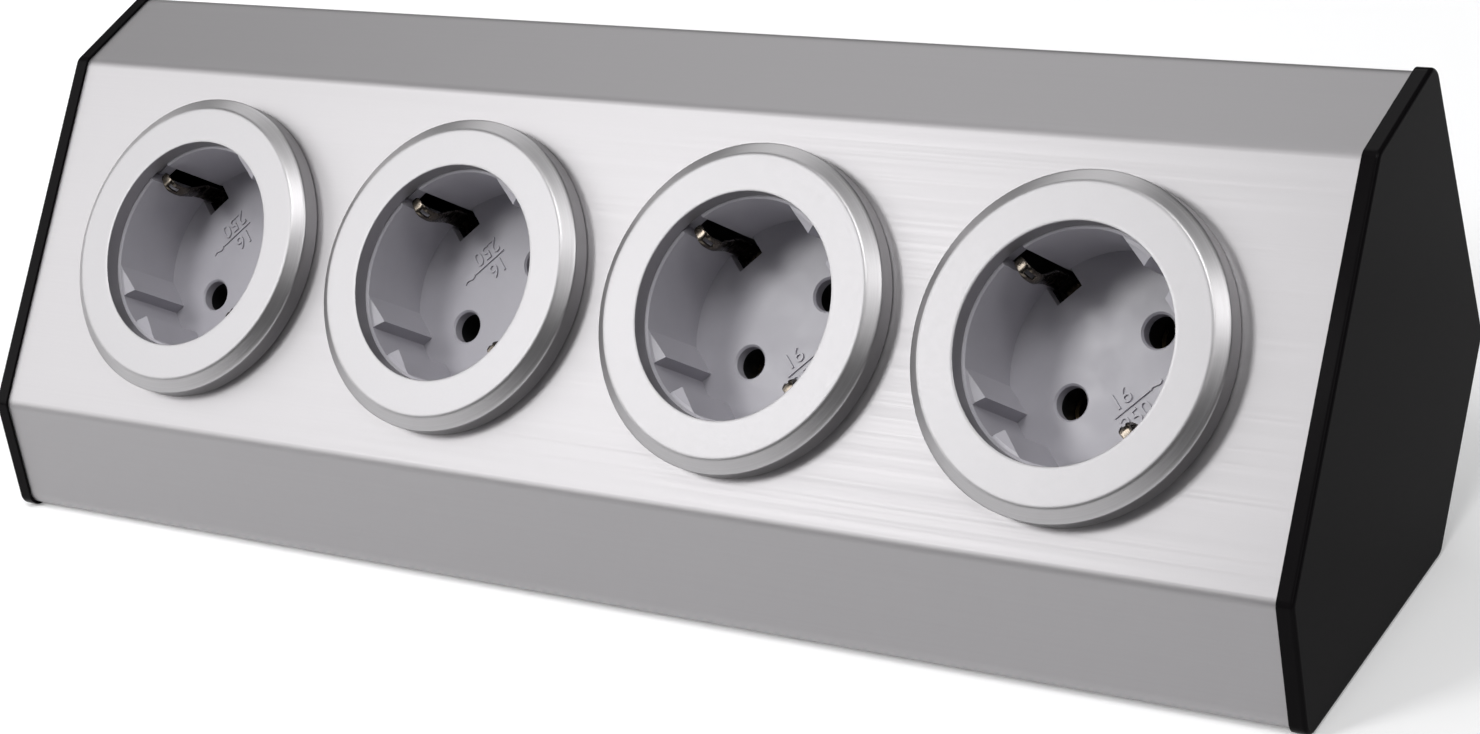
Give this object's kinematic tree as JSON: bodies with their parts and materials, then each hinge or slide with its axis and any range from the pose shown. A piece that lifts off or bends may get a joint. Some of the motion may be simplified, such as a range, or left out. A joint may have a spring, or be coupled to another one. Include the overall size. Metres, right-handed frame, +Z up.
{
  "type": "recessed socket block",
  "caption": "Corner-mounted mains socket block: folded steel housing with a sloping front, black end caps and recessed earthed sockets under bevelled trim rings, set at 45 degrees.",
  "frame": {"origin": "middle of the block's footprint, on the worktop plane", "axes": "+X along the block to its right end as seen from the front, +Y towards the wall, +Z up"},
  "size_m": [0.287, 0.0768, 0.0768],
  "materials": {
    "stainless": "brushed lengthways",
    "zinc_sheet": "zinc plated",
    "satin_aluminium": "satin, turned",
    "black_moulding": "gloss",
    "pale_grey_moulding": "semi-gloss",
    "dark_moulding": "matte",
    "white_moulding": "matte",
    "brass": "bright",
    "nickelled_brass": "nickel plated",
    "screws": "zinc plated",
    "rubber": "matte"
  },
  "bodies": {
    "housing": {"steel_cover": "stainless", "rear_tray": "zinc_sheet", "end_cap_right": "black_moulding", "end_cap_left": "black_moulding", "cover_screws_back": "screws", "cover_screws_base": "screws", "rivet_nuts": "screws", "trim_ring_1": "satin_aluminium", "ring_screws_1": "screws", "socket_insert_1": "pale_grey_moulding", "contact_carrier_1": "dark_moulding", "line_contact_1": "brass", "neutral_contact_1": "brass", "earth_strap_1": "nickelled_brass", "carrier_screws_1": "screws", "trim_ring_2": "satin_aluminium", "ring_screws_2": "screws", "socket_insert_2": "pale_grey_moulding", "contact_carrier_2": "dark_moulding", "line_contact_2": "brass", "neutral_contact_2": "brass", "earth_strap_2": "nickelled_brass", "carrier_screws_2": "screws", "trim_ring_3": "satin_aluminium", "ring_screws_3": "screws", "socket_insert_3": "pale_grey_moulding", "contact_carrier_3": "dark_moulding", "line_contact_3": "brass", "neutral_contact_3": "brass", "earth_strap_3": "nickelled_brass", "carrier_screws_3": "screws", "trim_ring_4": "satin_aluminium", "ring_screws_4": "screws", "socket_insert_4": "pale_grey_moulding", "contact_carrier_4": "dark_moulding", "line_contact_4": "brass", "neutral_contact_4": "brass", "earth_strap_4": "nickelled_brass", "carrier_screws_4": "screws", "line_rail": "brass", "neutral_rail": "brass", "earth_rail": "brass", "terminal_block": "white_moulding", "terminal_screws": "screws", "cable_grommet": "rubber", "cord_clamp_base": "dark_moulding", "cord_clamp_bar": "dark_moulding", "cord_clamp_screws": "screws", "clamp_foot_screws": "screws", "bond_bracket": "zinc_sheet", "bond_screw": "screws"},
    "upper_earth_clip_1": {"earth_clip_upper_1": "nickelled_brass"},
    "lower_earth_clip_1": {"earth_clip_lower_1": "nickelled_brass"},
    "upper_earth_clip_2": {"earth_clip_upper_2": "nickelled_brass"},
    "lower_earth_clip_2": {"earth_clip_lower_2": "nickelled_brass"},
    "upper_earth_clip_3": {"earth_clip_upper_3": "nickelled_brass"},
    "lower_earth_clip_3": {"earth_clip_lower_3": "nickelled_brass"},
    "upper_earth_clip_4": {"earth_clip_upper_4": "nickelled_brass"},
    "lower_earth_clip_4": {"earth_clip_lower_4": "nickelled_brass"}
  },
  "joints": [
    {"name": "upper_earth_clip_1_flex", "type": "hinge", "parent": "housing", "child": "upper_earth_clip_1", "pos_m": [-0.11065, 0.01084, 0.04614], "axis": [-0.7071, -0.5, -0.5], "range_deg": [0, 6], "stiffness_Nm_per_rad": 1.2},
    {"name": "lower_earth_clip_1_flex", "type": "hinge", "parent": "housing", "child": "lower_earth_clip_1", "pos_m": [-0.08435, -0.00776, 0.02754], "axis": [0.7071, 0.5, 0.5], "range_deg": [0, 6], "stiffness_Nm_per_rad": 1.2},
    {"name": "upper_earth_clip_2_flex", "type": "hinge", "parent": "housing", "child": "upper_earth_clip_2", "pos_m": [-0.04565, 0.01084, 0.04614], "axis": [-0.7071, -0.5, -0.5], "range_deg": [0, 6], "stiffness_Nm_per_rad": 1.2},
    {"name": "lower_earth_clip_2_flex", "type": "hinge", "parent": "housing", "child": "lower_earth_clip_2", "pos_m": [-0.01935, -0.00776, 0.02754], "axis": [0.7071, 0.5, 0.5], "range_deg": [0, 6], "stiffness_Nm_per_rad": 1.2},
    {"name": "upper_earth_clip_3_flex", "type": "hinge", "parent": "housing", "child": "upper_earth_clip_3", "pos_m": [0.01935, 0.01084, 0.04614], "axis": [-0.7071, -0.5, -0.5], "range_deg": [0, 6], "stiffness_Nm_per_rad": 1.2},
    {"name": "lower_earth_clip_3_flex", "type": "hinge", "parent": "housing", "child": "lower_earth_clip_3", "pos_m": [0.04565, -0.00776, 0.02754], "axis": [0.7071, 0.5, 0.5], "range_deg": [0, 6], "stiffness_Nm_per_rad": 1.2},
    {"name": "upper_earth_clip_4_flex", "type": "hinge", "parent": "housing", "child": "upper_earth_clip_4", "pos_m": [0.08435, 0.01084, 0.04614], "axis": [-0.7071, -0.5, -0.5], "range_deg": [0, 6], "stiffness_Nm_per_rad": 1.2},
    {"name": "lower_earth_clip_4_flex", "type": "hinge", "parent": "housing", "child": "lower_earth_clip_4", "pos_m": [0.11065, -0.00776, 0.02754], "axis": [0.7071, 0.5, 0.5], "range_deg": [0, 6], "stiffness_Nm_per_rad": 1.2}
  ]
}
